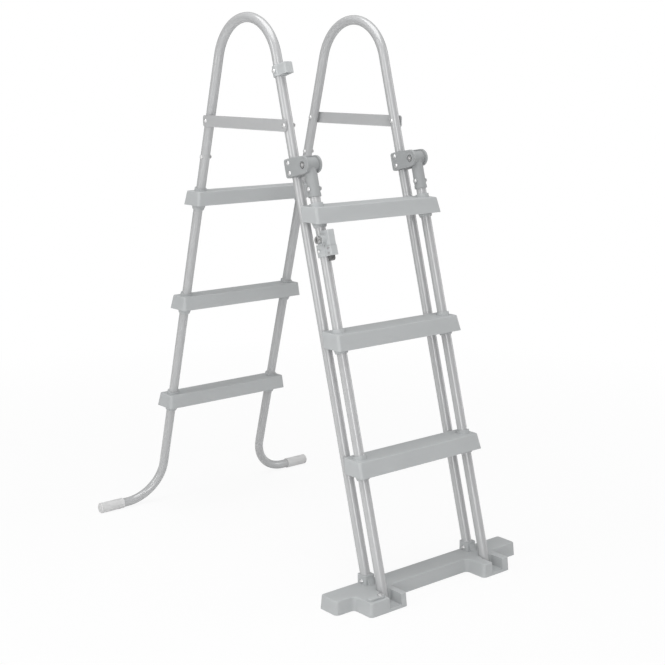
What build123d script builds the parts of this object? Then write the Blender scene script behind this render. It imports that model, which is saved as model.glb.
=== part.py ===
from build123d import *
from math import atan, cos, sin
import os

# An A-frame pool ladder with a flip-up, lockable outer step section.
#
# X runs along the treads, Y from the outside towards the pool, Z up.  The origin is the bottom centre of
# the bounding box.  "Left" is -X.  All sizes are in millimetres.

os.makedirs("parts", exist_ok=True)

# ---------------------------------------------------------------- driving dimensions
TUBE_RADIUS = 12.7
TUBE_WALL = 1.2
HALF_WIDTH = 177.0              # from the middle plane to each side frame
LEAN = 0.2735                   # run of every leg for each unit of rise
FOOT_SPREAD = 963.0             # between the leg lines, on the ground
ARCH_RADIUS = 128.8             # handrail arch, to the tube's axis
TREAD_RISE = 300.0
FIRST_TREAD_UNDERSIDE = 309.0
TREAD_HEIGHT = 38.0
TREAD_HALF_LENGTH = 207.0
RAIL_SETBACK = 57.0             # rails of the flip-up section, ahead of the fixed legs
PIVOT_HEIGHT = 1046.0
SPLICE_HEIGHT = 1001.0          # where handrail and pool-side leg meet
STRAP_HEIGHT = 1137.0
BASE_HEIGHT = 35.0
BASE_FRONT_REACH = 98.0         # front of the base, ahead of the fixed legs' line on the ground
BASE_HALF_LENGTH = 312.0
FOOT_CAP_RADIUS = 15.0
FOOT_REACH = 380.0              # outer end of each pool-side foot, from the middle plane
FOOT_BEND_RADIUS = 112.0

# ---------------------------------------------------------------- fits
SLIP = 0.1                      # between parts that are fixed to each other
RUNNING = 0.05                  # radial clearance of a turning shaft

# ---------------------------------------------------------------- places that follow from them
lean_angle = atan(LEAN)
rise = cos(lean_angle)
run = sin(lean_angle)
cap_back_reach = FOOT_CAP_RADIUS * (1 - LEAN)
outer_ground_y = -(FOOT_SPREAD + cap_back_reach - BASE_FRONT_REACH) / 2
pool_ground_y = outer_ground_y + FOOT_SPREAD
arch_y = (outer_ground_y + pool_ground_y) / 2
arch_z = FOOT_SPREAD / 2 / LEAN - ARCH_RADIUS / run
leg_gap = RAIL_SETBACK * rise   # between the axes of a rail and its fixed leg, square to both
pool_down = Vector(0, run, -rise)
tube_bore = TUBE_RADIUS - TUBE_WALL

SIDES = (("left", -1), ("right", 1))


def outer_y(height):
    return outer_ground_y + LEAN * height


def rail_y(height):
    return outer_y(height) - RAIL_SETBACK


def pool_y(height):
    return pool_ground_y - LEAN * height


# Local frames.  Each has X across the ladder, Y towards the pool and Z up along the leg.
def rail_frame(side):
    return Plane(
        origin=(side * HALF_WIDTH, rail_y(PIVOT_HEIGHT), PIVOT_HEIGHT),
        x_dir=(1, 0, 0),
        z_dir=(0, run, rise),
    )


def pool_frame(side, height):
    return Plane(
        origin=(side * HALF_WIDTH, pool_y(height), height),
        x_dir=(1, 0, 0),
        z_dir=(0, -run, rise),
    )


# ---------------------------------------------------------------- small helpers
def save(node, shape):
    """Write one node: a solid, or a group of separate solids."""
    solids = shape.solids()
    result = solids[0] if len(solids) == 1 else Compound(children=list(solids))
    export_step(result, f"parts/{node}.step")


def rod(start, end, radius):
    """A cylinder between two points."""
    start = Vector(start)
    axis = Vector(end) - start
    return extrude(Plane(origin=start, z_dir=axis) * Circle(radius), amount=axis.length)


def swept(path, radius):
    return sweep(Plane(origin=path @ 0, z_dir=path % 0) * Circle(radius), path=path)


def cross_rod(y, z, x_from, x_to, radius):
    """A cylinder along X in a local frame."""
    return rod((x_from, y, z), (x_to, y, z), radius)


def block(x_range, y_range, z_range):
    """A box from three (low, high) pairs."""
    sizes = [high - low for low, high in (x_range, y_range, z_range)]
    middle = [(high + low) / 2 for low, high in (x_range, y_range, z_range)]
    return Pos(*middle) * Box(*sizes)


def domed_head(y, z, x, outward, radius, height):
    """A domed bolt head whose flat side lies at x and whose dome points along outward (-1 or 1)."""
    dome_radius = (radius ** 2 + height ** 2) / (2 * height)
    centre = x + outward * (height - dome_radius)
    ball = Pos(centre, y, z) * Sphere(dome_radius)
    keep = rod((x, y, z), (x + outward * (height + 1), y, z), radius)
    return ball & keep


def hexagon_along_x(y, z, x_from, x_to, radius):
    sketch = Plane(origin=(x_from, y, z), z_dir=(1, 0, 0)) * RegularPolygon(radius, 6)
    return extrude(sketch, amount=x_to - x_from)


def through_bolt(y, z, head_x, nut_x, shank_radius, head_radius, head_height, nut_height):
    """A bolt along X with its domed head at head_x (facing -X) and its tip just past the nut."""
    shank = cross_rod(y, z, head_x - 0.5, nut_x + nut_height + 1.5, shank_radius)
    return shank + domed_head(y, z, head_x, -1, head_radius, head_height)


def hex_nut(y, z, x, height, radius, bore):
    return hexagon_along_x(y, z, x, x + height, radius) - cross_rod(y, z, x - 1, x + height + 1, bore)


# ---------------------------------------------------------------- fasteners shared by several pieces
BOLT_RADIUS = 3.0
BOLT_HEAD_RADIUS = 5.6
BOLT_HEAD_HEIGHT = 3.6
NUT_RADIUS = 5.4
NUT_HEIGHT = 4.5
BOLT_HOLE = BOLT_RADIUS + SLIP
NUT_BORE = BOLT_RADIUS + SLIP / 2

# ---------------------------------------------------------------- tubes of the side frames
SPIGOT_LENGTH = 60.0
SPIGOT_RADIUS = tube_bore - SLIP
SPIGOT_BORE = SPIGOT_RADIUS - TUBE_WALL
SPLICE_BOLT_HEIGHT = 1040.0
BRACKET_SPLICE = 3.0            # the splice inside the bracket, up the leg from the pivot
LEG_FOOT_HEIGHT = 12.0          # lower end of the fixed leg, inside the base
STRAP_THICKNESS = 3.0
STRAP_WIDTH = 30.0
STRAP_OVERHANG = 10.0


def fixed_leg_point(side, along):
    """A point on the fixed leg's axis, `along` up the leg from the pivot's level across the leg."""
    local = rail_frame(side)
    return local.from_local_coords(Vector(0, leg_gap, along))


def handrail(side):
    x = side * HALF_WIDTH
    arc_dy = ARCH_RADIUS * rise
    arc_z = arch_z + ARCH_RADIUS * run
    pool_end = Vector(x, pool_y(SPLICE_HEIGHT), SPLICE_HEIGHT)
    pool_tangent = Vector(x, arch_y + arc_dy, arc_z)
    top = Vector(x, arch_y, arch_z + ARCH_RADIUS)
    outer_tangent = Vector(x, arch_y - arc_dy, arc_z)
    outer_end = fixed_leg_point(side, BRACKET_SPLICE)
    path = Wire([
        Edge.make_line(pool_end, pool_tangent),
        Edge.make_three_point_arc(pool_tangent, top, outer_tangent),
        Edge.make_line(outer_tangent, outer_end),
    ])
    tube = swept(path, TUBE_RADIUS) - swept(path, tube_bore)
    tube -= rod((x - 20, pool_y(SPLICE_BOLT_HEIGHT), SPLICE_BOLT_HEIGHT),
                (x + 20, pool_y(SPLICE_BOLT_HEIGHT), SPLICE_BOLT_HEIGHT), BOLT_HOLE)
    for line in (outer_y, pool_y):
        y = line(STRAP_HEIGHT)
        tube -= rod((x - 20, y, STRAP_HEIGHT), (x + 20, y, STRAP_HEIGHT), BOLT_HOLE)
    if side < 0:
        tube -= rail_frame(side) * cross_rod(leg_gap, CATCH_BOLT_Z, -20, 20, BOLT_HOLE)
    return tube - rail_frame(side) * cross_rod(leg_gap, BRACKET_BOLTS[0], -20, 20, BOLT_HOLE)


def spigot_end(end, upward):
    """The reduced end of a lower tube, above `end`, and the bore through it and the tube's top."""
    sleeve = rod(end - upward * 10, end + upward * SPIGOT_LENGTH, SPIGOT_RADIUS)
    bore = rod(end - upward * 12, end + upward * (SPIGOT_LENGTH + 1), SPIGOT_BORE)
    return sleeve, bore


def pool_leg(side):
    x = side * HALF_WIDTH
    outward = Vector(side, 0, 0)
    top = Vector(x, pool_y(SPLICE_HEIGHT), SPLICE_HEIGHT)
    corner = Vector(x, pool_y(FOOT_CAP_RADIUS), FOOT_CAP_RADIUS)
    bend_start = corner - pool_down * FOOT_BEND_RADIUS
    bend_end = corner + outward * FOOT_BEND_RADIUS
    bend_centre = bend_start + outward * FOOT_BEND_RADIUS
    bend_middle = bend_centre + (pool_down - outward).normalized() * FOOT_BEND_RADIUS
    tip = corner + outward * (FOOT_REACH - FOOT_CAP_END - SLIP - HALF_WIDTH)
    path = Wire([
        Edge.make_line(top, bend_start),
        Edge.make_three_point_arc(bend_start, bend_middle, bend_end),
        Edge.make_line(bend_end, tip),
    ])
    sleeve, bore = spigot_end(top, pool_down * -1)
    tube = swept(path, TUBE_RADIUS) - swept(path, tube_bore)
    reducer = rod(top + pool_down * 10, top, TUBE_RADIUS - 0.2)
    tube = tube + reducer + sleeve - bore
    return tube - rod((x - 20, pool_y(SPLICE_BOLT_HEIGHT), SPLICE_BOLT_HEIGHT),
                      (x + 20, pool_y(SPLICE_BOLT_HEIGHT), SPLICE_BOLT_HEIGHT), BOLT_HOLE)


def outer_leg(side):
    x = side * HALF_WIDTH
    top = fixed_leg_point(side, BRACKET_SPLICE)
    upward = Vector(0, run, rise)
    foot = Vector(x, outer_y(LEG_FOOT_HEIGHT), LEG_FOOT_HEIGHT)
    sleeve, bore = spigot_end(top, upward)
    tube = rod(foot, top, TUBE_RADIUS) - rod(foot - upward, top - upward * 10, tube_bore)
    tube = tube + sleeve - bore
    for along in BRACKET_BOLTS:
        tube -= rail_frame(side) * cross_rod(leg_gap, along, -20, 20, BOLT_HOLE)
    return tube - rod((x - 20, outer_y(BASE_BOLT_HEIGHT), BASE_BOLT_HEIGHT),
                      (x + 20, outer_y(BASE_BOLT_HEIGHT), BASE_BOLT_HEIGHT), BOLT_HOLE)


def strap(side):
    """A flat brace on the outward side of both legs."""
    low_y = outer_y(STRAP_HEIGHT) - STRAP_OVERHANG
    high_y = pool_y(STRAP_HEIGHT) + STRAP_OVERHANG
    inner = side * (HALF_WIDTH + TUBE_RADIUS + SLIP / 2)
    plate = block(sorted((inner, inner + side * STRAP_THICKNESS)), (low_y, high_y),
                  (STRAP_HEIGHT - STRAP_WIDTH / 2, STRAP_HEIGHT + STRAP_WIDTH / 2))
    plate = fillet(plate.edges().filter_by(Axis.X), 6)
    for line in (outer_y, pool_y):
        y = line(STRAP_HEIGHT)
        plate -= rod((inner - 9, y, STRAP_HEIGHT), (inner + 9, y, STRAP_HEIGHT), BOLT_HOLE)
    return plate


def tube_bolt_faces(side, with_strap):
    """X of the head's seat (towards -X) and of the nut's seat, for a bolt through a tube."""
    reach = TUBE_RADIUS + SLIP / 2
    strap_reach = reach + STRAP_THICKNESS + SLIP / 2
    low = strap_reach if with_strap and side < 0 else reach
    high = strap_reach if with_strap and side > 0 else reach
    return side * HALF_WIDTH - low, side * HALF_WIDTH + high


def bolt_and_nut(y, z, faces):
    head_x, nut_x = faces
    bolt = through_bolt(y, z, head_x, nut_x, BOLT_RADIUS, BOLT_HEAD_RADIUS, BOLT_HEAD_HEIGHT, NUT_HEIGHT)
    return bolt, hex_nut(y, z, nut_x, NUT_HEIGHT, NUT_RADIUS, NUT_BORE)


# ---------------------------------------------------------------- treads
TREAD_WALL = 3.0
TREAD_END_DRAFT = 4.0
TREAD_CORNER = 8.0
TREAD_EDGE = 2.8
COLLAR_RADIUS = 17.0
TREAD_BORE = TUBE_RADIUS + SLIP


def tread_shell(bottom, top, half_bottom, half_top, height):
    """A drafted block between two level rectangles, given as (front, back) pairs in Y."""
    def outline(level, faces, half_length):
        front, back = faces
        sketch = Rectangle(2 * half_length, back - front)
        return Pos(0, (front + back) / 2, level) * sketch
    lower = outline(0, bottom, half_bottom)
    upper = outline(height, top, half_top)
    return loft([lower, upper])


def tread(bottom, top, lean_sign, half_length):
    """One tread with its underside's middle at the local origin.

    bottom and top are the front and back of the lower and upper faces, measured from the leg's axis at
    the underside.  lean_sign is 1 where the legs lean towards the pool as they rise.
    """
    solid = tread_shell(bottom, top, half_length, half_length - TREAD_END_DRAFT, TREAD_HEIGHT)
    uprights = [edge for edge in solid.edges() if abs(edge.tangent_at(0.5).Z) > 0.8]
    solid = fillet(uprights, TREAD_CORNER)
    solid = fillet(solid.faces().sort_by(Axis.Z)[-1].edges(), TREAD_EDGE)
    inner_bottom = (bottom[0] + TREAD_WALL, bottom[1] - TREAD_WALL)
    inner_top = (top[0] + TREAD_WALL, top[1] - TREAD_WALL)
    hollow = tread_shell(inner_bottom, inner_top, half_length - TREAD_WALL,
                         half_length - TREAD_END_DRAFT - TREAD_WALL, TREAD_HEIGHT - TREAD_WALL)
    axis_up = Vector(0, lean_sign * run, rise)
    across = Plane(origin=(0, 0, 0), x_dir=(1, 0, 0), z_dir=axis_up)
    sleeves = []
    for side in (-1, 1):
        foot = Vector(side * HALF_WIDTH, 0, 0)
        along = TREAD_HEIGHT / rise
        sleeves.append(rod(foot - axis_up * 1, foot + axis_up * (along + 7), COLLAR_RADIUS))
        cone = Plane(origin=foot - axis_up * 13, x_dir=(1, 0, 0), z_dir=axis_up) * Cone(
            15.6, 20.5, 18, align=(Align.CENTER, Align.CENTER, Align.MIN))
        sleeves.append(cone)
    ribs = []
    rib_count = 7
    for index in range(rib_count):
        x = (index - (rib_count - 1) / 2) * 2 * (HALF_WIDTH - 32) / (rib_count - 1)
        rib = block((x - 1.25, x + 1.25), (min(bottom[0], top[0]), max(bottom[1], top[1])), (6, TREAD_HEIGHT))
        ribs.append(rib & hollow)
    solid = solid - hollow
    for piece in sleeves + ribs:
        solid = solid + piece
    for side in (-1, 1):
        foot = Vector(side * HALF_WIDTH, 0, 0)
        solid = solid - rod(foot - axis_up * 30, foot + axis_up * 70, TREAD_BORE)
    return solid


def tread_level(index):
    return FIRST_TREAD_UNDERSIDE + index * TREAD_RISE


def outer_tread(index):
    shape = tread((-32.0, 35.0), (-32.0 + TREAD_HEIGHT * LEAN + 2, 35.0 + TREAD_HEIGHT * LEAN), 1,
                  TREAD_HALF_LENGTH)
    level = tread_level(index)
    return Pos(0, rail_y(level), level) * shape


def pool_tread(index):
    shape = tread((-43.0, 31.5), (-30.0 - TREAD_HEIGHT * LEAN, 31.5 - TREAD_HEIGHT * LEAN), -1,
                  TREAD_HALF_LENGTH)
    level = tread_level(index)
    return Pos(0, pool_y(level), level) * shape


# ---------------------------------------------------------------- pool-side foot caps
FOOT_CAP_LENGTH = 75.0
FOOT_CAP_END = 6.0              # thickness of the closed end
CAP_GROOVES = 26
CAP_GROOVE_RADIUS = 1.0
CAP_GROOVE_CENTRE = FOOT_CAP_RADIUS + 0.35
CAP_MOUTH_BAND = 7.0            # smooth ring at the open end


def foot_cap(side):
    """A cap over the end of the foot, with lengthwise grooves for grip and its lowest line on the ground."""
    mouth = FOOT_REACH - FOOT_CAP_LENGTH
    y = pool_y(FOOT_CAP_RADIUS)
    start = Plane(origin=(side * mouth, y, FOOT_CAP_RADIUS), z_dir=(side, 0, 0))
    body = start * Cylinder(FOOT_CAP_RADIUS, FOOT_CAP_LENGTH, align=(Align.CENTER, Align.CENTER, Align.MIN))
    body = chamfer(body.faces().sort_by(Axis.X)[-1 if side > 0 else 0].edges(), 2)
    body = body - start * Pos(0, 0, -1) * Cylinder(TREAD_BORE, FOOT_CAP_LENGTH - FOOT_CAP_END + 1,
                                                  align=(Align.CENTER, Align.CENTER, Align.MIN))
    groove_length = FOOT_CAP_LENGTH
    grooves = []
    for index in range(CAP_GROOVES):
        turn = 360 * (index + 0.5) / CAP_GROOVES
        place = start * Rot(0, 0, turn) * Pos(CAP_GROOVE_CENTRE, 0, CAP_MOUTH_BAND)
        grooves.append(place * Cylinder(CAP_GROOVE_RADIUS, groove_length,
                                        align=(Align.CENTER, Align.CENTER, Align.MIN)))
    return body - grooves


# ---------------------------------------------------------------- base
BASE_FRONT = -36.0              # front and back of the cross bar, from the fixed legs' ground line
BASE_BACK = 30.0
BASE_CORNER = 10.0
BASE_DRAFT = 5.0
BASE_WALL = 4.0
SOCKET_TOP = 58.0
SOCKET_HALF = 16.0
BASE_BOLT_HEIGHT = 42.5
SLOT_HALF_WIDTH = 19.0
SLOT_FLOOR = 8.0
RAIL_END_HEIGHT = 12.0          # lowest point of the rail's axis, inside the slot
LEFT_LOBE = (-79.0, 41.0)       # left and right of the rail's line
RIGHT_LOBE = (-50.0, 46.0)
LATCH_PIN_X = -HALF_WIDTH - 34.0
LATCH_PIN_Y = -77.0             # from the fixed legs' ground line
LATCH_PIN_RADIUS = 4.0


def base():
    bar_depth = BASE_BACK - BASE_FRONT
    outline = Pos(0, (BASE_BACK + BASE_FRONT) / 2) * Rectangle(2 * BASE_HALF_LENGTH, bar_depth)
    for side, (low, high) in zip((-1, 1), (LEFT_LOBE, RIGHT_LOBE)):
        centre = side * HALF_WIDTH + (low + high) / 2
        outline += Pos(centre, (BASE_BACK - BASE_FRONT_REACH) / 2) * Rectangle(
            high - low, BASE_BACK + BASE_FRONT_REACH)
    outline = fillet(outline.vertices(), BASE_CORNER)
    solid = extrude(outline, amount=BASE_HEIGHT, taper=BASE_DRAFT)
    solid = fillet(solid.faces().sort_by(Axis.Z)[-1].edges(), 3)
    solid = solid - base_pockets()
    for side in (-1, 1):
        solid = solid + leg_socket(side)
    for side in (-1, 1):
        solid = solid - slot_cut(side)
        solid = solid - leg_bore(side)
    solid = solid - Pos(LATCH_PIN_X, LATCH_PIN_Y, 0) * Cylinder(LATCH_PIN_RADIUS + RUNNING, 4 * BASE_HEIGHT)
    return Pos(0, outer_ground_y, 0) * solid


def base_pockets():
    """Open cells under the cross bar and arms, which leave ribs between them."""
    cells = []
    top = BASE_HEIGHT - BASE_WALL
    front = BASE_FRONT + BASE_WALL + 3
    back = BASE_BACK - BASE_WALL - 3
    edges = [-BASE_HALF_LENGTH + 9, -HALF_WIDTH - 68, -HALF_WIDTH - 28]
    middle = HALF_WIDTH - 28
    count = 7
    for index in range(count):
        low = -middle + 2 * middle * index / count + BASE_WALL / 2
        high = -middle + 2 * middle * (index + 1) / count - BASE_WALL / 2
        cells.append(block((low, high), (front, back), (-1, top)))
    for low, high in zip(edges[:-1], edges[1:]):
        for mirror in (1, -1):
            pair = sorted((mirror * (low + BASE_WALL / 2), mirror * (high - BASE_WALL / 2)))
            cells.append(block(pair, (front, back), (-1, top)))
    group = cells[0]
    for cell in cells[1:]:
        group = group + cell
    return group


def leg_socket(side):
    """The raised box round the fixed leg's foot, with a sloping web on its front."""
    x = side * HALF_WIDTH
    y = LEAN * (SOCKET_TOP + BASE_HEIGHT) / 2
    box = block((x - SOCKET_HALF, x + SOCKET_HALF), (y - SOCKET_HALF, y + SOCKET_HALF), (5, SOCKET_TOP))
    box = fillet(box.edges().filter_by(Axis.Z), 6)
    box = fillet(box.faces().sort_by(Axis.Z)[-1].edges(), 1.5)
    profile = Polyline([
        (y - SOCKET_HALF + 1, SOCKET_TOP - 4),
        (y - SOCKET_HALF - 9, BASE_HEIGHT - 2),
        (y - SOCKET_HALF + 1, BASE_HEIGHT - 2),
    ], close=True)
    web = extrude(Plane(origin=(x - 8, 0, 0), x_dir=(0, 1, 0), z_dir=(1, 0, 0)) * make_face(profile), amount=16)
    return box + web


def leg_bore(side):
    x = side * HALF_WIDTH
    low = LEG_FOOT_HEIGHT - SLIP
    bore = rod((x, LEAN * low, low), (x, LEAN * 90, 90), TREAD_BORE)
    y = LEAN * BASE_BOLT_HEIGHT
    bolt = rod((x - 40, y, BASE_BOLT_HEIGHT), (x + 40, y, BASE_BOLT_HEIGHT), BOLT_HOLE)
    head_seats = []
    for direction in (-1, 1):
        seat = rod((x + direction * SOCKET_HALF, y, BASE_BOLT_HEIGHT),
                   (x + direction * (SOCKET_HALF + 12), y, BASE_BOLT_HEIGHT), BOLT_HEAD_RADIUS + 1)
        head_seats.append(seat)
    return bore + bolt + head_seats[0] + head_seats[1]


def slot_cut(side):
    """The rail's slot: open upwards and to the front, with a floor and a rounded back."""
    x = side * HALF_WIDTH
    low, high = SLOT_FLOOR - 30, BASE_HEIGHT + 30
    trough = rod((x, LEAN * low - RAIL_SETBACK, low), (x, LEAN * high - RAIL_SETBACK, high), TUBE_RADIUS + 1.0)
    mouth = block((x - SLOT_HALF_WIDTH, x + SLOT_HALF_WIDTH), (-BASE_FRONT_REACH - 5, -RAIL_SETBACK + 4),
                  (SLOT_FLOOR, BASE_HEIGHT + 30))
    mouth = fillet(mouth.edges().filter_by(Axis.Z), 6)
    keep = block((x - 40, x + 40), (-BASE_FRONT_REACH - 10, 0), (SLOT_FLOOR, BASE_HEIGHT + 40))
    return (trough & keep) + mouth


# ---------------------------------------------------------------- foot latch on the left lobe
FOOT_LATCH_THICKNESS = 6.0
FOOT_LATCH_REACH = 32.0


def foot_latch():
    """A swivelling tab on the left lobe; half a turn brings its nose in front of the rail."""
    sketch = Circle(11) + Pos(-FOOT_LATCH_REACH / 2, 0) * Rectangle(FOOT_LATCH_REACH, 18)
    sketch += Pos(-FOOT_LATCH_REACH + 3, 0) * Circle(9)
    plate = extrude(sketch, amount=FOOT_LATCH_THICKNESS)
    plate = fillet(plate.faces().sort_by(Axis.Z)[-1].edges(), 2)
    plate = plate - Pos(0, 0, -1) * Cylinder(LATCH_PIN_RADIUS + RUNNING, 20,
                                             align=(Align.CENTER, Align.CENTER, Align.MIN))
    return Pos(LATCH_PIN_X, outer_ground_y + LATCH_PIN_Y, BASE_HEIGHT + 0.4) * plate


def foot_latch_pin():
    top = BASE_HEIGHT + 0.4 + FOOT_LATCH_THICKNESS + 0.4
    x, y = LATCH_PIN_X, outer_ground_y + LATCH_PIN_Y
    shank = rod((x, y, 6), (x, y, top), LATCH_PIN_RADIUS)
    head = rod((x, y, top), (x, y, top + 2.2), 7)
    head = fillet(head.faces().sort_by(Axis.Z)[-1].edges(), 1.2)
    return shank + head


# ---------------------------------------------------------------- pivot brackets, in the rail frame
EAR_RADIUS = 22.0
EAR_OUTER = 23.0                # X of an ear's outer face, from the rail's plane
EAR_INNER = 16.0
BRACKET_TOP = 27.0
BRACKET_BOTTOM = -20.0
BRACKET_BACK = 15.2             # behind the fixed leg's axis
BRACKET_WEB = 18.0              # ahead of the fixed leg's axis
BRACKET_BOLTS = (16.5, -9.0)
PIVOT_RADIUS = 5.0
PIVOT_HEAD_RADIUS = 7.5
RECESS_RADIUS = 9.0
RECESS_DEPTH = 4.5


def bracket_half(side, direction):
    """One moulded half: an ear, and half of the clamp round the fixed leg.

    direction is -1 for the half whose ear is on the -X side.
    """
    back = leg_gap + BRACKET_BACK
    outline = Circle(EAR_RADIUS)
    plate_height = BRACKET_TOP - BRACKET_BOTTOM
    outline += Pos(back - 22, (BRACKET_TOP + BRACKET_BOTTOM) / 2) * RectangleRounded(44, plate_height, 6)
    throat_end = back - 30
    throat = Polyline([(0, EAR_RADIUS), (throat_end, BRACKET_TOP), (throat_end, BRACKET_BOTTOM),
                       (0, -EAR_RADIUS)], close=True)
    outline += make_face(throat)
    face = Plane(origin=(-EAR_OUTER, 0, 0), x_dir=(0, 1, 0), z_dir=(1, 0, 0))
    ear = extrude(face * outline, amount=EAR_OUTER - EAR_INNER)
    ear = fillet(ear.faces().sort_by(Axis.X)[0].edges(), 1.5)
    clamp_face = Plane(origin=(-EAR_INNER - 1, 0, 0), x_dir=(0, 1, 0), z_dir=(1, 0, 0))
    low_y = leg_gap - BRACKET_WEB
    clamp = extrude(clamp_face * Pos((low_y + back) / 2, (BRACKET_TOP + BRACKET_BOTTOM) / 2)
                    * RectangleRounded(back - low_y, plate_height, 5), amount=EAR_INNER + 1 - SLIP / 2)
    half = ear + clamp
    half = half - rod((0, leg_gap, -60), (0, leg_gap, 60), TREAD_BORE)
    half = half - cross_rod(0, 0, -40, 0, PIVOT_RADIUS + SLIP)
    half = half - cross_rod(0, 0, -EAR_OUTER - 1, -EAR_OUTER + RECESS_DEPTH, RECESS_RADIUS)
    for along in BRACKET_BOLTS:
        half = half - cross_rod(leg_gap, along, -40, 5, BOLT_HOLE)
    if direction > 0:
        half = mirror(half, about=Plane.YZ)
    return rail_frame(side) * half


def pivot_bolt(side):
    shank = cross_rod(0, 0, -EAR_OUTER + RECESS_DEPTH - 1, EAR_OUTER + 2, PIVOT_RADIUS)
    head = hexagon_along_x(0, 0, -EAR_OUTER + 0.4, -EAR_OUTER + RECESS_DEPTH - 0.1, PIVOT_HEAD_RADIUS)
    socket = cross_rod(0, 0, -EAR_OUTER - 3, -EAR_OUTER + 2.4, 3.2)
    return rail_frame(side) * (shank + head - socket)


def pivot_nut(side):
    nut = hexagon_along_x(0, 0, EAR_OUTER - RECESS_DEPTH + 0.1, EAR_OUTER + 2.5, PIVOT_HEAD_RADIUS)
    return rail_frame(side) * (nut - cross_rod(0, 0, 0, 40, PIVOT_RADIUS + SLIP / 2))


# ---------------------------------------------------------------- flip-up section, in the rail frame
BARREL_RADIUS = 17.5
BARREL_HALF = EAR_INNER - 0.35
SLEEVE_RADIUS = 15.2
SLEEVE_END = -80.0
RAIL_TOP = -24.0
TEE_BOLT = -60.0
rail_bottom = (RAIL_END_HEIGHT - PIVOT_HEIGHT) / rise
PLUG_LENGTH = 25.0
PLUG_FLANGE = 3.0


def rail(side):
    tube = rod((0, 0, rail_bottom + PLUG_FLANGE + SLIP / 2), (0, 0, RAIL_TOP), TUBE_RADIUS)
    tube = tube - rod((0, 0, rail_bottom - 5), (0, 0, 0), tube_bore)
    tube = tube - cross_rod(0, TEE_BOLT, -20, 20, BOLT_HOLE)
    if side < 0:
        tube = tube - cross_rod(0, LOCK_SCREW_Z, -20, 0, FIXING_SCREW_HOLE)
    return rail_frame(side) * tube


def rail_plug(side):
    flange = rod((0, 0, rail_bottom), (0, 0, rail_bottom + PLUG_FLANGE), TUBE_RADIUS)
    flange = fillet(flange.faces().sort_by(Axis.Z)[0].edges(), 1.2)
    spigot = rod((0, 0, rail_bottom + 1), (0, 0, rail_bottom + PLUG_LENGTH), tube_bore - SLIP)
    return rail_frame(side) * (flange + spigot)


def rail_tee(side):
    """The T-shaped socket: a barrel on the pivot bolt and a sleeve round the rail's upper end."""
    barrel = cross_rod(0, 0, -BARREL_HALF, BARREL_HALF, BARREL_RADIUS)
    sleeve = rod((0, 0, SLEEVE_END), (0, 0, 0), SLEEVE_RADIUS)
    collar = rod((0, 0, SLEEVE_END), (0, 0, SLEEVE_END + 8), SLEEVE_RADIUS + 0.8)
    boss = cross_rod(0, TEE_BOLT, -TUBE_RADIUS - 4.2, TUBE_RADIUS + 4.2, BOLT_HEAD_RADIUS + 1.2)
    tee = barrel + (sleeve + collar + boss)
    tee = tee - rod((0, 0, SLEEVE_END - 1), (0, 0, RAIL_TOP + SLIP), TREAD_BORE)
    tee = tee - cross_rod(0, 0, -30, 30, PIVOT_RADIUS + RUNNING)
    tee = tee - cross_rod(0, TEE_BOLT, -30, 30, BOLT_HOLE)
    return rail_frame(side) * tee


# ---------------------------------------------------------------- key lock on the left rail, in the rail frame
LOCK_HALF = 11.0
LOCK_FRONT = -39.5
LOCK_TOP = -165.0
LOCK_BOTTOM = -228.0
LOCK_SEAM = -203.0
CLAMP_RADIUS = 17.5
CLAMP_TOP = -197.0
KEY_Z = -187.0
KEY_Y = -16.0
KEY_RADIUS = 9.5
KEY_FACE = -31.0
KEY_BARREL_END = -14.0
LATCH_Y = (-31.0, -19.0)
LATCH_HALF = 6.0
LATCH_TIP = -240.0
LATCH_TOP = -176.0
LATCH_TRAVEL = 12.0
FIXING_SCREW_RADIUS = 2.0
FIXING_SCREW_HOLE = 2.1
FIXING_HEAD_RADIUS = 4.6
FIXING_HEAD_HEIGHT = 3.2
LOCK_SCREW_Z = -213.0


def lock_body():
    upper = block((-LOCK_HALF + 1, LOCK_HALF - 1), (LOCK_FRONT + 1.5, -8), (LOCK_SEAM, LOCK_TOP))
    upper = fillet(upper.edges().filter_by(Axis.Z) + upper.faces().sort_by(Axis.Z)[-1].edges(), 2)
    lower = block((-LOCK_HALF, LOCK_HALF), (LOCK_FRONT, -8), (LOCK_BOTTOM, LOCK_SEAM - 1))
    lower = fillet(lower.edges().filter_by(Axis.Z), 2.5)
    neck = block((-LOCK_HALF + 2, LOCK_HALF - 2), (LOCK_FRONT + 2.5, -8), (LOCK_BOTTOM + 2, LOCK_TOP - 4))
    band = rod((0, 0, LOCK_BOTTOM), (0, 0, CLAMP_TOP), CLAMP_RADIUS)
    band = fillet(band.edges(), 1)
    pad = cross_rod(0, LOCK_SCREW_Z, -CLAMP_RADIUS - 1, 0, FIXING_HEAD_RADIUS + 1.2)
    boss = cross_rod(KEY_Y, KEY_Z, KEY_BARREL_END - 8, -6, KEY_RADIUS + 3.5)
    body = upper + lower + neck + band + pad + boss
    body = body - rod((0, 0, -300), (0, 0, 0), TREAD_BORE)
    body = body - cross_rod(KEY_Y, KEY_Z, -60, KEY_BARREL_END, KEY_RADIUS + RUNNING)
    guide = block((-LATCH_HALF - 0.4, LATCH_HALF + 0.4), (LATCH_Y[0] - 0.4, LATCH_Y[1] + 0.4),
                  (-270, LATCH_TOP + LATCH_TRAVEL + 1.5))
    body = body - guide
    body = body - cross_rod(0, LOCK_SCREW_Z, -30, 0, FIXING_SCREW_HOLE)
    return rail_frame(-1) * body


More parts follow.
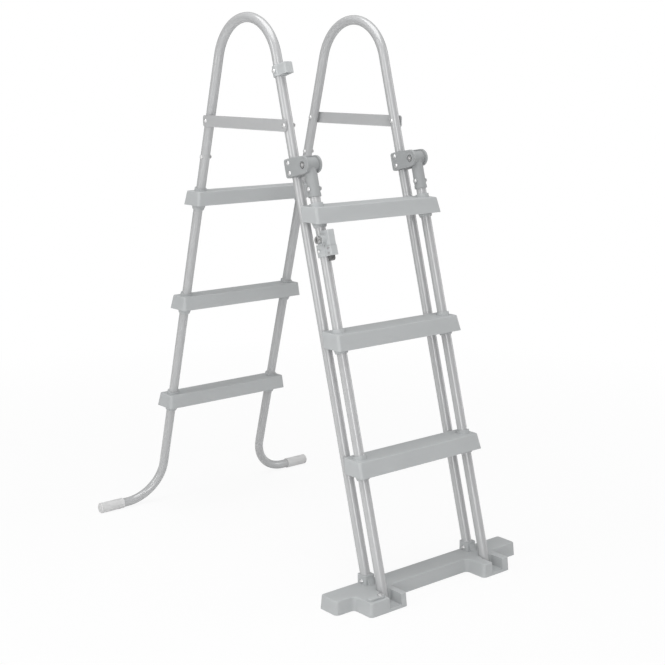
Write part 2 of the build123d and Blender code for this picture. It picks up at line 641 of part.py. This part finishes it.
def lock_screws():
    """The screw that fixes the housing to the rail, and two small screws that close its front."""
    seat = -CLAMP_RADIUS - 1 - SLIP / 2
    fixing = cross_rod(0, LOCK_SCREW_Z, seat - 0.5, -tube_bore + 3, FIXING_SCREW_RADIUS)
    fixing += domed_head(0, LOCK_SCREW_Z, seat, -1, FIXING_HEAD_RADIUS, FIXING_HEAD_HEIGHT)
    front = []
    for z in (LOCK_SEAM - 6, LOCK_BOTTOM + 6):
        head = rod((-LOCK_HALF - 1.8, LOCK_FRONT + 9, z), (-LOCK_HALF - 0.05, LOCK_FRONT + 9, z), 3.0)
        front.append(head)
    return [rail_frame(-1) * piece for piece in [fixing] + front]


def key_cylinder():
    barrel = cross_rod(KEY_Y, KEY_Z, KEY_FACE, KEY_BARREL_END - 0.5, KEY_RADIUS)
    barrel = chamfer(barrel.faces().sort_by(Axis.X)[0].edges(), 1)
    slot = block((KEY_FACE - 1, KEY_FACE + 6), (KEY_Y - 1.1, KEY_Y + 1.1), (KEY_Z - 5, KEY_Z + 5))
    ring = cross_rod(KEY_Y, KEY_Z, KEY_FACE - 1, KEY_FACE + 0.8, 7.6)
    ring -= cross_rod(KEY_Y, KEY_Z, KEY_FACE - 1, KEY_FACE + 0.8, 6.6)
    return rail_frame(-1) * (barrel - slot - ring)


def latch_bolt():
    """The bar that slides along the rail; its chamfered tip stands out of the housing's lower end."""
    bar = block((-LATCH_HALF, LATCH_HALF), LATCH_Y, (LATCH_TIP, LATCH_TOP))
    tip_edges = [edge for edge in bar.faces().sort_by(Axis.Z)[0].edges() if abs(edge.tangent_at(0.5).X) > 0.9]
    front_edge = sorted(tip_edges, key=lambda edge: edge.center().Y)[0]
    bar = chamfer(front_edge, 4)
    return rail_frame(-1) * bar


# ---------------------------------------------------------------- catch on the left handrail, in the rail frame
CATCH_LOW = 231.5
CATCH_HIGH = 259.5
CATCH_HALF = 13.0
CATCH_BAND_RADIUS = 16.6
CATCH_BOLT_Z = (CATCH_LOW + CATCH_HIGH) / 2
CATCH_SEAT = CATCH_BAND_RADIUS + 1.4
CATCH_FRONT = 13.6              # from the pivot's line; the flipped rail stops just clear of the block


def catch_half(direction):
    """One half of the catch: it wraps the handrail and takes the latch in a pocket of its block."""
    block_part = block((-CATCH_HALF, CATCH_HALF), (CATCH_FRONT, leg_gap), (CATCH_LOW, CATCH_HIGH))
    block_part = fillet(block_part.edges().filter_by(Axis.Z), 4)
    block_part = fillet(block_part.faces().sort_by(Axis.Z)[-1].edges(), 3)
    band = rod((0, leg_gap, CATCH_LOW), (0, leg_gap, CATCH_HIGH), CATCH_BAND_RADIUS)
    band = fillet(band.edges(), 2)
    boss = cross_rod(leg_gap, CATCH_BOLT_Z, -CATCH_SEAT, CATCH_SEAT, BOLT_HEAD_RADIUS + 1.4)
    body = block_part + band + boss
    body = body - rod((0, leg_gap, 200), (0, leg_gap, 300), TREAD_BORE)
    body = body - rod((0, 0, 200), (0, 0, 300), TUBE_RADIUS + 1.6)
    body = body - cross_rod(leg_gap, CATCH_BOLT_Z, -30, 30, BOLT_HOLE)
    pocket = block((-LATCH_HALF - 1, LATCH_HALF + 1), (-LATCH_Y[1] - 1, -LATCH_Y[0] + 1),
                   (CATCH_LOW - 5, -LATCH_TIP + 1.5))
    body = body - pocket
    side = block(sorted((direction * SLIP / 2, direction * 60)), (-10, leg_gap + 60), (200, 300))
    return rail_frame(-1) * (body & side)


# ---------------------------------------------------------------- write every node
def write_side_frames():
    for name, side in SIDES:
        save(f"{name}_handrail", handrail(side))
        save(f"{name}_pool_leg", pool_leg(side))
        save(f"{name}_outer_leg", outer_leg(side))
        save(f"{name}_strap", strap(side))
        save(f"{name}_foot_cap", foot_cap(side))


def write_tube_fasteners():
    groups = {"splice": [], "strap": [], "base_socket": []}
    for name, side in SIDES:
        plain = tube_bolt_faces(side, False)
        groups["splice"].append((pool_y(SPLICE_BOLT_HEIGHT), SPLICE_BOLT_HEIGHT, plain))
        for line in (outer_y, pool_y):
            groups["strap"].append((line(STRAP_HEIGHT), STRAP_HEIGHT, tube_bolt_faces(side, True)))
        socket = SOCKET_HALF + SLIP / 2
        faces = (side * HALF_WIDTH - socket, side * HALF_WIDTH + socket)
        groups["base_socket"].append((outer_y(BASE_BOLT_HEIGHT), BASE_BOLT_HEIGHT, faces))
    for group, places in groups.items():
        pairs = [bolt_and_nut(y, z, faces) for y, z, faces in places]
        save(f"{group}_bolts", Compound(children=[bolt for bolt, nut in pairs]))
        save(f"{group}_nuts", Compound(children=[nut for bolt, nut in pairs]))


def write_rail_frame_fasteners():
    groups = {"bracket": [], "tee": []}
    for name, side in SIDES:
        local = rail_frame(side)
        ear = EAR_OUTER + SLIP / 2
        for along in BRACKET_BOLTS:
            pair = bolt_and_nut(leg_gap, along, (-ear, ear))
            groups["bracket"].append([local * piece for piece in pair])
        seat = TUBE_RADIUS + 4.2 + SLIP / 2
        groups["tee"].append([local * piece for piece in bolt_and_nut(0, TEE_BOLT, (-seat, seat))])
    for group, pairs in groups.items():
        save(f"{group}_bolts", Compound(children=[pair[0] for pair in pairs]))
        save(f"{group}_nuts", Compound(children=[pair[1] for pair in pairs]))


def write_brackets_and_rails():
    for name, side in SIDES:
        save(f"{name}_bracket_outer", bracket_half(side, side))
        save(f"{name}_bracket_inner", bracket_half(side, -side))
        save(f"{name}_pivot_bolt", pivot_bolt(side))
        save(f"{name}_rail", rail(side))
        save(f"{name}_rail_tee", rail_tee(side))
    save("pivot_nuts", Compound(children=[pivot_nut(side) for name, side in SIDES]))
    save("rail_plugs", Compound(children=[rail_plug(side) for name, side in SIDES]))


def write_treads():
    for index, level in enumerate(("bottom", "middle", "top")):
        save(f"pool_tread_{level}", pool_tread(index))
        save(f"outer_tread_{level}", outer_tread(index))


def write_base():
    save("base", base())
    save("foot_latch", foot_latch())
    save("foot_latch_pin", foot_latch_pin())


def write_lock():
    save("lock_body", lock_body())
    save("lock_screws", Compound(children=lock_screws()))
    save("key_cylinder", key_cylinder())
    save("latch_bolt", latch_bolt())
    save("catch_near_half", catch_half(-1))
    save("catch_far_half", catch_half(1))
    seat = CATCH_SEAT + SLIP / 2
    bolt, nut = bolt_and_nut(leg_gap, CATCH_BOLT_Z, (-seat, seat))
    save("catch_bolt", rail_frame(-1) * bolt)
    save("catch_nut", rail_frame(-1) * nut)


write_side_frames()
write_tube_fasteners()
write_rail_frame_fasteners()
write_brackets_and_rails()
write_treads()
write_base()
write_lock()
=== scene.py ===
import math

import bpy
from bpy.props import FloatProperty, FloatVectorProperty, PointerProperty
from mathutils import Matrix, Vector

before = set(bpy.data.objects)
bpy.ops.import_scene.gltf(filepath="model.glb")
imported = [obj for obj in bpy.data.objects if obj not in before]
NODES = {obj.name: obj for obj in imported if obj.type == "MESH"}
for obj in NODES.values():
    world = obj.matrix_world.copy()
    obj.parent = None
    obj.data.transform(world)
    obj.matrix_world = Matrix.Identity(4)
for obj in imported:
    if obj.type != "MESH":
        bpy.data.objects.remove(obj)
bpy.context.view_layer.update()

bl_info = {
    "name": "Pool Ladder",
    "version": (1, 0, 0),
    "blender": (4, 5, 0),
    "location": "3D View > Sidebar > Pool Ladder",
    "description": "Finishes and a studio for an A-frame pool ladder with a flip-up section",
    "category": "Object",
}

SIDES = ("left", "right")
LEVELS = ("bottom", "middle", "top")
FLOOR_SIZE = 60.0
FLOOR_DROP = 0.0004             # under the ladder's feet, so that the two faces don't fight
FLOOR_COLOUR = (0.86, 0.86, 0.86)
FLOOR_FILL = 0.9                # share of plain white that the camera sees near the ladder
FLOOR_SHADOW_REACH = 0.9        # metres from the middle out to which that share holds
FLOOR_WHITE_REACH = 2.6         # and from where the floor is all white to the camera
LIGHTS_TARGET = (0.0, 0.0, 0.7)
BRACKET_SHADE = 0.77            # brackets and sockets, against the treads' plastic
LOCK_SHADE = 1.08               # lock housing and catch, against the treads' plastic
KEY_SHADE = 0.82                # key cylinder, against the fasteners' plating
LATCH_SHADE = 0.35              # latch bolt, darkened against the fasteners' plating; partly painted shade, standing in for the shadow under the lock body


# ---------------------------------------------------------------- node material helpers
def new_material(name):
    """An empty node material with a Principled shader wired to its output."""
    material = bpy.data.materials.new(name)
    material.use_nodes = True
    tree = material.node_tree
    tree.nodes.clear()
    output = tree.nodes.new("ShaderNodeOutputMaterial")
    shader = tree.nodes.new("ShaderNodeBsdfPrincipled")
    tree.links.new(shader.outputs["BSDF"], output.inputs["Surface"])
    return material, tree, shader


def object_coordinates(tree, stretch=(1.0, 1.0, 1.0)):
    """Object coordinates, stretched along the three axes."""
    source = tree.nodes.new("ShaderNodeTexCoord")
    mapping = tree.nodes.new("ShaderNodeMapping")
    mapping.inputs["Scale"].default_value = stretch
    tree.links.new(source.outputs["Object"], mapping.inputs["Vector"])
    return mapping.outputs["Vector"]


def noise(tree, vector, scale, detail=3.0, roughness=0.55):
    node = tree.nodes.new("ShaderNodeTexNoise")
    node.inputs["Scale"].default_value = scale
    node.inputs["Detail"].default_value = detail
    node.inputs["Roughness"].default_value = roughness
    tree.links.new(vector, node.inputs["Vector"])
    return node.outputs["Fac"]


def remap(tree, value, low, high, start=0.3, end=0.7):
    """A value from start..end turned into low..high, clamped."""
    node = tree.nodes.new("ShaderNodeMapRange")
    node.inputs["From Min"].default_value = start
    node.inputs["From Max"].default_value = end
    node.inputs["To Min"].default_value = low
    node.inputs["To Max"].default_value = high
    tree.links.new(value, node.inputs["Value"])
    return node.outputs["Result"]


def tint(tree, value, dark, light):
    """A blend of two colours along a 0..1 value."""
    node = tree.nodes.new("ShaderNodeMix")
    node.data_type = "RGBA"
    node.inputs["A"].default_value = (*dark, 1.0)
    node.inputs["B"].default_value = (*light, 1.0)
    tree.links.new(value, node.inputs["Factor"])
    return node.outputs["Result"]


def bump(tree, height, distance, strength, base=None):
    node = tree.nodes.new("ShaderNodeBump")
    node.inputs["Distance"].default_value = distance
    node.inputs["Strength"].default_value = strength
    tree.links.new(height, node.inputs["Height"])
    if base is not None:
        tree.links.new(base, node.inputs["Normal"])
    return node.outputs["Normal"]


def shaded(colour, factor):
    return tuple(channel * factor for channel in colour)


# ---------------------------------------------------------------- the ladder's finishes
def powder_coat(name, colour, gloss, variation=0.03):
    """Sprayed and baked powder on steel: an even colour, a satin film and a fine orange peel."""
    material, tree, shader = new_material(name)
    place = object_coordinates(tree)
    cloud = remap(tree, noise(tree, place, 9.0, 3.0), 0.0, 1.0)
    tree.links.new(tint(tree, cloud, shaded(colour, 1 - variation), colour), shader.inputs["Base Color"])
    smear = remap(tree, noise(tree, place, 25.0, 2.0), gloss - 0.015, gloss + 0.02)
    tree.links.new(smear, shader.inputs["Roughness"])
    peel = noise(tree, place, 420.0, 2.0, 0.4)
    speck = noise(tree, place, 1900.0, 2.0, 0.6)
    normal = bump(tree, peel, 0.0002, 0.08)
    tree.links.new(bump(tree, speck, 0.00005, 0.08, normal), shader.inputs["Normal"])
    shader.inputs["Specular IOR Level"].default_value = 0.8
    shader.inputs["Coat Weight"].default_value = 0.8
    shader.inputs["Coat Roughness"].default_value = 0.16
    return material


def moulded_plastic(name, colour, grain, roughness=0.5, variation=0.05):
    """Injection-moulded polypropylene: a spark-eroded grain and faint flow marks."""
    material, tree, shader = new_material(name)
    place = object_coordinates(tree)
    flow = remap(tree, noise(tree, object_coordinates(tree, (1.0, 3.0, 3.0)), 7.0, 4.0), 0.0, 1.0)
    tree.links.new(tint(tree, flow, shaded(colour, 1 - variation), colour), shader.inputs["Base Color"])
    cells = tree.nodes.new("ShaderNodeTexVoronoi")
    cells.feature = "SMOOTH_F1"
    cells.inputs["Scale"].default_value = grain
    cells.inputs["Smoothness"].default_value = 0.6
    tree.links.new(place, cells.inputs["Vector"])
    rub = remap(tree, noise(tree, place, 35.0, 4.0), roughness - 0.05, roughness + 0.07)
    tree.links.new(rub, shader.inputs["Roughness"])
    normal = bump(tree, cells.outputs["Distance"], 0.0003, 0.45)
    tree.links.new(bump(tree, noise(tree, place, 55.0, 2.0), 0.0006, 0.10, normal), shader.inputs["Normal"])
    shader.inputs["Specular IOR Level"].default_value = 0.45
    return material


def soft_rubber(name, colour):
    """The paler vinyl of the foot caps: matte, with a faint bloom."""
    material, tree, shader = new_material(name)
    place = object_coordinates(tree)
    bloom = remap(tree, noise(tree, place, 30.0, 4.0), 0.0, 1.0)
    tree.links.new(tint(tree, bloom, shaded(colour, 0.92), colour), shader.inputs["Base Color"])
    tree.links.new(remap(tree, noise(tree, place, 90.0), 0.52, 0.66), shader.inputs["Roughness"])
    tree.links.new(bump(tree, noise(tree, place, 1200.0, 3.0), 0.00015, 0.25), shader.inputs["Normal"])
    shader.inputs["Subsurface Weight"].default_value = 0.12
    shader.inputs["Subsurface Radius"].default_value = (0.004, 0.004, 0.004)
    shader.inputs["Subsurface Scale"].default_value = 1.0
    return material


def plated_steel(name, colour, roughness):
    """Plated steel: bright, with a fine grain that catches the light."""
    material, tree, shader = new_material(name)
    place = object_coordinates(tree)
    cloud = remap(tree, noise(tree, place, 120.0, 3.0), 0.0, 1.0)
    tree.links.new(tint(tree, cloud, shaded(colour, 0.88), colour), shader.inputs["Base Color"])
    shader.inputs["Metallic"].default_value = 1.0
    fine = noise(tree, place, 260.0, 3.0)
    tree.links.new(remap(tree, fine, roughness - 0.06, roughness + 0.10), shader.inputs["Roughness"])
    tree.links.new(bump(tree, fine, 0.0001, 0.15), shader.inputs["Normal"])
    return material


# ---------------------------------------------------------------- putting a finish on CAD nodes
def finish_nodes(names, material):
    for name in names:
        mesh = NODES[name].data
        mesh.materials.clear()
        mesh.materials.append(material)


def studio_floor(name):
    """A pale floor that shows the camera a near-white ground and still takes the ladder's shadow."""
    material, tree, shader = new_material(name)
    output = tree.nodes["Material Output"]
    place = object_coordinates(tree)
    tone = remap(tree, noise(tree, place, 3.0, 3.0), 0.0, 1.0)
    tree.links.new(tint(tree, tone, shaded(FLOOR_COLOUR, 0.995), FLOOR_COLOUR), shader.inputs["Base Color"])
    shader.inputs["Roughness"].default_value = 0.9
    shader.inputs["Specular IOR Level"].default_value = 0.1
    glow = tree.nodes.new("ShaderNodeEmission")
    glow.inputs["Color"].default_value = (1.0, 1.0, 1.0, 1.0)
    path = tree.nodes.new("ShaderNodeLightPath")
    reach = tree.nodes.new("ShaderNodeVectorMath")
    reach.operation = "LENGTH"
    tree.links.new(place, reach.inputs[0])
    spread = remap(tree, reach.outputs["Value"], FLOOR_FILL, 1.0, FLOOR_SHADOW_REACH, FLOOR_WHITE_REACH)
    share = tree.nodes.new("ShaderNodeMath")
    share.operation = "MULTIPLY"
    tree.links.new(path.outputs["Is Camera Ray"], share.inputs[0])
    tree.links.new(spread, share.inputs[1])
    blend = tree.nodes.new("ShaderNodeMixShader")
    tree.links.new(share.outputs["Value"], blend.inputs["Fac"])
    tree.links.new(shader.outputs["BSDF"], blend.inputs[1])
    tree.links.new(glow.outputs["Emission"], blend.inputs[2])
    tree.links.new(blend.outputs["Shader"], output.inputs["Surface"])
    return material


# ---------------------------------------------------------------- what a user would change
class LadderFinishes(bpy.types.PropertyGroup):
    """Colours and sheens of the ladder."""

    coat_colour: FloatVectorProperty(
        name="Powder Coat", description="Colour of the steel tubes and straps",
        default=(0.47, 0.475, 0.48), size=3, min=0.0, max=1.0, subtype="COLOR")
    plastic_colour: FloatVectorProperty(
        name="Moulded Plastic", description="Colour of the treads, base, brackets and lock",
        default=(0.47, 0.485, 0.49), size=3, min=0.0, max=1.0, subtype="COLOR")
    cap_colour: FloatVectorProperty(
        name="Foot Caps", description="Colour of the vinyl foot caps",
        default=(0.68, 0.68, 0.68), size=3, min=0.0, max=1.0, subtype="COLOR")
    steel_colour: FloatVectorProperty(
        name="Plated Steel", description="Colour of the bolts, nuts and screws",
        default=(0.76, 0.76, 0.76), size=3, min=0.0, max=1.0, subtype="COLOR")
    coat_gloss: FloatProperty(
        name="Coat Roughness", description="Roughness of the powder coat",
        default=0.24, min=0.05, max=1.0, subtype="FACTOR")


class LadderStudio(bpy.types.PropertyGroup):
    """Camera and lights."""

    camera_place: FloatVectorProperty(
        name="Camera Place", description="Where the camera stands",
        default=(-2.1567, -2.6832, 1.2894), size=3, subtype="TRANSLATION", unit="LENGTH")
    camera_turn: FloatProperty(
        name="Camera Turn", description="Turn of the camera about the vertical",
        default=math.radians(-39.674), subtype="ANGLE", unit="ROTATION")
    camera_dip: FloatProperty(
        name="Camera Dip", description="How far the camera looks down",
        default=math.radians(11.773), subtype="ANGLE", unit="ROTATION")
    lens: FloatProperty(
        name="Lens", description="Focal length of the camera, in millimetres",
        default=70.194, min=10.0, max=300.0)
    front_power: FloatProperty(
        name="Front Light", description="Power of the tall soft box beside the camera",
        default=36.0, min=0.0, unit="POWER")
    side_power: FloatProperty(
        name="Side Light", description="Power of the soft box on the left",
        default=25.0, min=0.0, unit="POWER")
    top_power: FloatProperty(
        name="Top Light", description="Power of the soft box overhead",
        default=60.0, min=0.0, unit="POWER")
    rim_power: FloatProperty(
        name="Rim Light", description="Power of the strip behind the right side",
        default=14.0, min=0.0, unit="POWER")
    sky_level: FloatProperty(
        name="Sky Level", description="Brightness of the even light from all round",
        default=0.40, min=0.0, max=3.0)


# ---------------------------------------------------------------- one operator per piece or group
class LADDER_OT_coat_tubes(bpy.types.Operator):
    """Powder-coat the handrails, legs, rails and straps"""

    bl_idname = "ladder.coat_tubes"
    bl_label = "Coat Tubes"

    def execute(self, context):
        finishes = context.scene.ladder_finishes
        coat = powder_coat("tube_powder_coat", tuple(finishes.coat_colour), finishes.coat_gloss)
        parts = ("handrail", "pool_leg", "outer_leg", "rail", "strap")
        finish_nodes([f"{side}_{part}" for side in SIDES for part in parts], coat)
        return {"FINISHED"}


class LADDER_OT_mould_treads(bpy.types.Operator):
    """Give the treads their moulded plastic"""

    bl_idname = "ladder.mould_treads"
    bl_label = "Mould Treads"

    def execute(self, context):
        finishes = context.scene.ladder_finishes
        plastic = moulded_plastic("tread_plastic", tuple(finishes.plastic_colour), 900.0)
        finish_nodes([f"{row}_tread_{level}" for row in ("outer", "pool") for level in LEVELS], plastic)
        return {"FINISHED"}


class LADDER_OT_mould_base(bpy.types.Operator):
    """Give the base and its foot latch their moulded plastic"""

    bl_idname = "ladder.mould_base"
    bl_label = "Mould Base"

    def execute(self, context):
        finishes = context.scene.ladder_finishes
        plastic = moulded_plastic("base_plastic", tuple(finishes.plastic_colour), 800.0)
        finish_nodes(["base", "foot_latch"], plastic)
        return {"FINISHED"}


class LADDER_OT_mould_brackets(bpy.types.Operator):
    """Give the pivot brackets and the T-shaped sockets their moulded plastic"""

    bl_idname = "ladder.mould_brackets"
    bl_label = "Mould Brackets"

    def execute(self, context):
        finishes = context.scene.ladder_finishes
        plastic = moulded_plastic("bracket_plastic", shaded(finishes.plastic_colour, BRACKET_SHADE), 1000.0)
        parts = ("bracket_outer", "bracket_inner", "rail_tee")
        finish_nodes([f"{side}_{part}" for side in SIDES for part in parts], plastic)
        return {"FINISHED"}


class LADDER_OT_fit_caps(bpy.types.Operator):
    """Give the foot caps and rail plugs their vinyl"""

    bl_idname = "ladder.fit_caps"
    bl_label = "Fit Caps"

    def execute(self, context):
        finishes = context.scene.ladder_finishes
        vinyl = soft_rubber("cap_vinyl", tuple(finishes.cap_colour))
        finish_nodes([f"{side}_foot_cap" for side in SIDES] + ["rail_plugs"], vinyl)
        return {"FINISHED"}


class LADDER_OT_fit_lock(bpy.types.Operator):
    """Finish the key lock, its latch and its catch"""

    bl_idname = "ladder.fit_lock"
    bl_label = "Fit Lock"

    def execute(self, context):
        finishes = context.scene.ladder_finishes
        plastic = moulded_plastic("lock_plastic", shaded(finishes.plastic_colour, LOCK_SHADE), 1100.0)
        finish_nodes(["lock_body", "catch_near_half", "catch_far_half"], plastic)
        chrome = plated_steel("key_chrome", shaded(finishes.steel_colour, KEY_SHADE), 0.32)
        finish_nodes(["key_cylinder"], chrome)
        # the latch bolt's dark steel is partly painted shade: it stands in for the shadow under the lock
        # body
        dark = plated_steel("latch_steel_painted_shade", shaded(finishes.steel_colour, LATCH_SHADE), 0.34)
        finish_nodes(["latch_bolt"], dark)
        return {"FINISHED"}


class LADDER_OT_plate_fasteners(bpy.types.Operator):
    """Plate the bolts, nuts, screws and pins"""

    bl_idname = "ladder.plate_fasteners"
    bl_label = "Plate Fasteners"

    def execute(self, context):
        finishes = context.scene.ladder_finishes
        zinc = plated_steel("zinc_plate", tuple(finishes.steel_colour), 0.30)
        joints = ("splice", "strap", "base_socket", "bracket", "tee")
        finish_nodes([f"{joint}_{kind}" for joint in joints for kind in ("bolts", "nuts")], zinc)
        finish_nodes(("left_pivot_bolt", "right_pivot_bolt", "pivot_nuts", "foot_latch_pin"), zinc)
        finish_nodes(("lock_screws", "catch_bolt", "catch_nut"), zinc)
        return {"FINISHED"}


# ---------------------------------------------------------------- studio
def soft_box(name, place, width, height, power):
    """A rectangular light, in metres and watts, aimed at the ladder's middle."""
    data = bpy.data.lights.new(name, "AREA")
    data.shape = "RECTANGLE"
    data.size = width
    data.size_y = height
    data.energy = power
    lamp = bpy.data.objects.new(name, data)
    lamp.location = place
    aim = Vector(LIGHTS_TARGET) - Vector(place)
    lamp.rotation_euler = aim.to_track_quat("-Z", "Y").to_euler()
    bpy.context.scene.collection.objects.link(lamp)


def round_the_ladder(turn, distance, height):
    """A place at a turn, in degrees, from the outer side towards the left, in metres."""
    angle = math.radians(turn)
    return (-distance * math.sin(angle), -distance * math.cos(angle), height)


class LADDER_OT_build_studio(bpy.types.Operator):
    """Build the floor, lights and camera"""

    bl_idname = "ladder.build_studio"
    bl_label = "Build Studio"

    def execute(self, context):
        studio = context.scene.ladder_studio
        scene = context.scene
        bpy.ops.object.select_all(action="DESELECT")
        bpy.ops.mesh.primitive_plane_add(size=FLOOR_SIZE, location=(0.0, 0.0, -FLOOR_DROP))
        floor = context.active_object
        floor.name = "studio_floor"
        bpy.ops.object.transform_apply(location=True, rotation=True, scale=True)
        floor.data.materials.append(studio_floor("studio_floor_paint"))
        world = bpy.data.worlds.new("studio_sky")
        world.use_nodes = True
        tree = world.node_tree
        background = tree.nodes["Background"]
        path = tree.nodes.new("ShaderNodeLightPath")
        level = tree.nodes.new("ShaderNodeMapRange")
        level.inputs["To Min"].default_value = studio.sky_level
        level.inputs["To Max"].default_value = 1.0
        tree.links.new(path.outputs["Is Camera Ray"], level.inputs["Value"])
        tree.links.new(level.outputs["Result"], background.inputs["Strength"])
        background.inputs["Color"].default_value = (1.0, 1.0, 1.0, 1.0)
        scene.world = world
        soft_box("front_light", round_the_ladder(36.0, 3.4, 1.5), 1.0, 2.8, studio.front_power)
        soft_box("side_light", round_the_ladder(95.0, 3.2, 1.6), 1.2, 2.2, studio.side_power)
        soft_box("top_light", (-0.4, -0.3, 3.6), 2.6, 2.6, studio.top_power)
        soft_box("rim_light", round_the_ladder(-70.0, 3.2, 1.4), 0.6, 2.6, studio.rim_power)
        camera = bpy.data.objects.new("camera", bpy.data.cameras.new("camera"))
        camera.location = studio.camera_place
        camera.rotation_euler = (math.pi / 2 - studio.camera_dip, 0.0, studio.camera_turn)
        camera.data.lens = studio.lens
        camera.data.sensor_width = 36.0
        camera.data.clip_end = 200.0
        scene.collection.objects.link(camera)
        scene.camera = camera
        scene.view_settings.view_transform = "Standard"
        return {"FINISHED"}


class LADDER_PT_sidebar(bpy.types.Panel):
    """Lists the ladder's colours, the studio's settings and the steps"""

    bl_idname = "LADDER_PT_sidebar"
    bl_label = "Pool Ladder"
    bl_space_type = "VIEW_3D"
    bl_region_type = "UI"
    bl_category = "Pool Ladder"

    def draw(self, context):
        layout = self.layout
        for group in (context.scene.ladder_finishes, context.scene.ladder_studio):
            column = layout.column(align=True)
            for key in group.__annotations__:
                column.prop(group, key)
        steps = layout.column(align=True)
        for step in STEPS:
            steps.operator(step.bl_idname)


STEPS = (
    LADDER_OT_coat_tubes,
    LADDER_OT_mould_treads,
    LADDER_OT_mould_base,
    LADDER_OT_mould_brackets,
    LADDER_OT_fit_caps,
    LADDER_OT_fit_lock,
    LADDER_OT_plate_fasteners,
    LADDER_OT_build_studio,
)
GROUPS = (LadderFinishes, LadderStudio)


def register():
    for group in GROUPS + STEPS + (LADDER_PT_sidebar,):
        bpy.utils.register_class(group)
    bpy.types.Scene.ladder_finishes = PointerProperty(type=LadderFinishes)
    bpy.types.Scene.ladder_studio = PointerProperty(type=LadderStudio)


def unregister():
    del bpy.types.Scene.ladder_studio
    del bpy.types.Scene.ladder_finishes
    for group in reversed(GROUPS + STEPS + (LADDER_PT_sidebar,)):
        bpy.utils.unregister_class(group)


def main():
    register()
    for step in STEPS:
        family, name = step.bl_idname.split(".")
        getattr(getattr(bpy.ops, family), name)()


if __name__ == "__main__":
    main()
